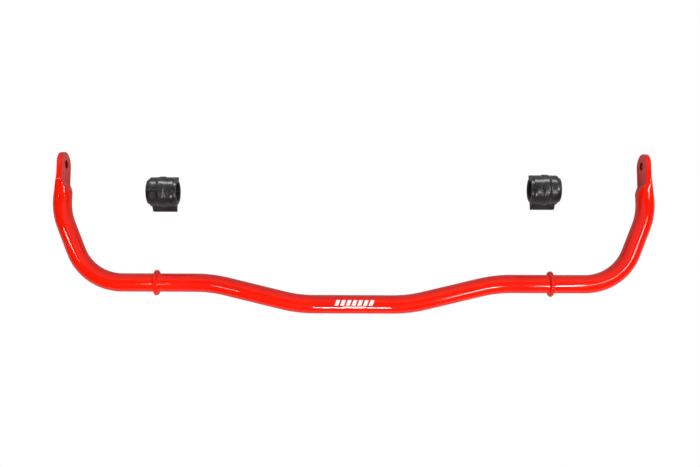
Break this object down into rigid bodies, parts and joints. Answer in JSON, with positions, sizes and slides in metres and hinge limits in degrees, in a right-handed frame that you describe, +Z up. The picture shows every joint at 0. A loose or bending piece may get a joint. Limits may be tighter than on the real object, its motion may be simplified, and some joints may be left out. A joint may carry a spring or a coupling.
{
  "type": "sway bar",
  "caption": "Lacquered steel anti-roll bar with a dipped middle, flat drilled ends, pressed stop rings and loose split rubber bushings.",
  "frame": {"origin": "on the surface that the bar lies on, under the middle of its outline", "axes": "+X along the bar to its right end, +Y the way the arms point, +Z up, away from the surface that it lies on"},
  "size_m": [0.935, 0.2512, 0.0433],
  "materials": {
    "red_powder_coat": "glossy powder coat over steel",
    "black_rubber": "satin moulded rubber"
  },
  "bodies": {
    "bar": {"bar": "red_powder_coat", "stop_ring_left": "red_powder_coat", "stop_ring_right": "red_powder_coat"},
    "bushing_left": {"bushing_left": "black_rubber"},
    "bushing_right": {"bushing_right": "black_rubber"}
  },
  "joints": [
    {"name": "bushing_left_fit", "type": "slide", "parent": "bar", "child": "bushing_left", "axis": [-0.2013, -0.9795, 0], "range_m": [0, 0.14497], "deforming": ["bushing_left"]},
    {"name": "bushing_right_fit", "type": "slide", "parent": "bar", "child": "bushing_right", "axis": [0.1941, -0.981, 0], "range_m": [0, 0.15036], "deforming": ["bushing_right"]}
  ]
}
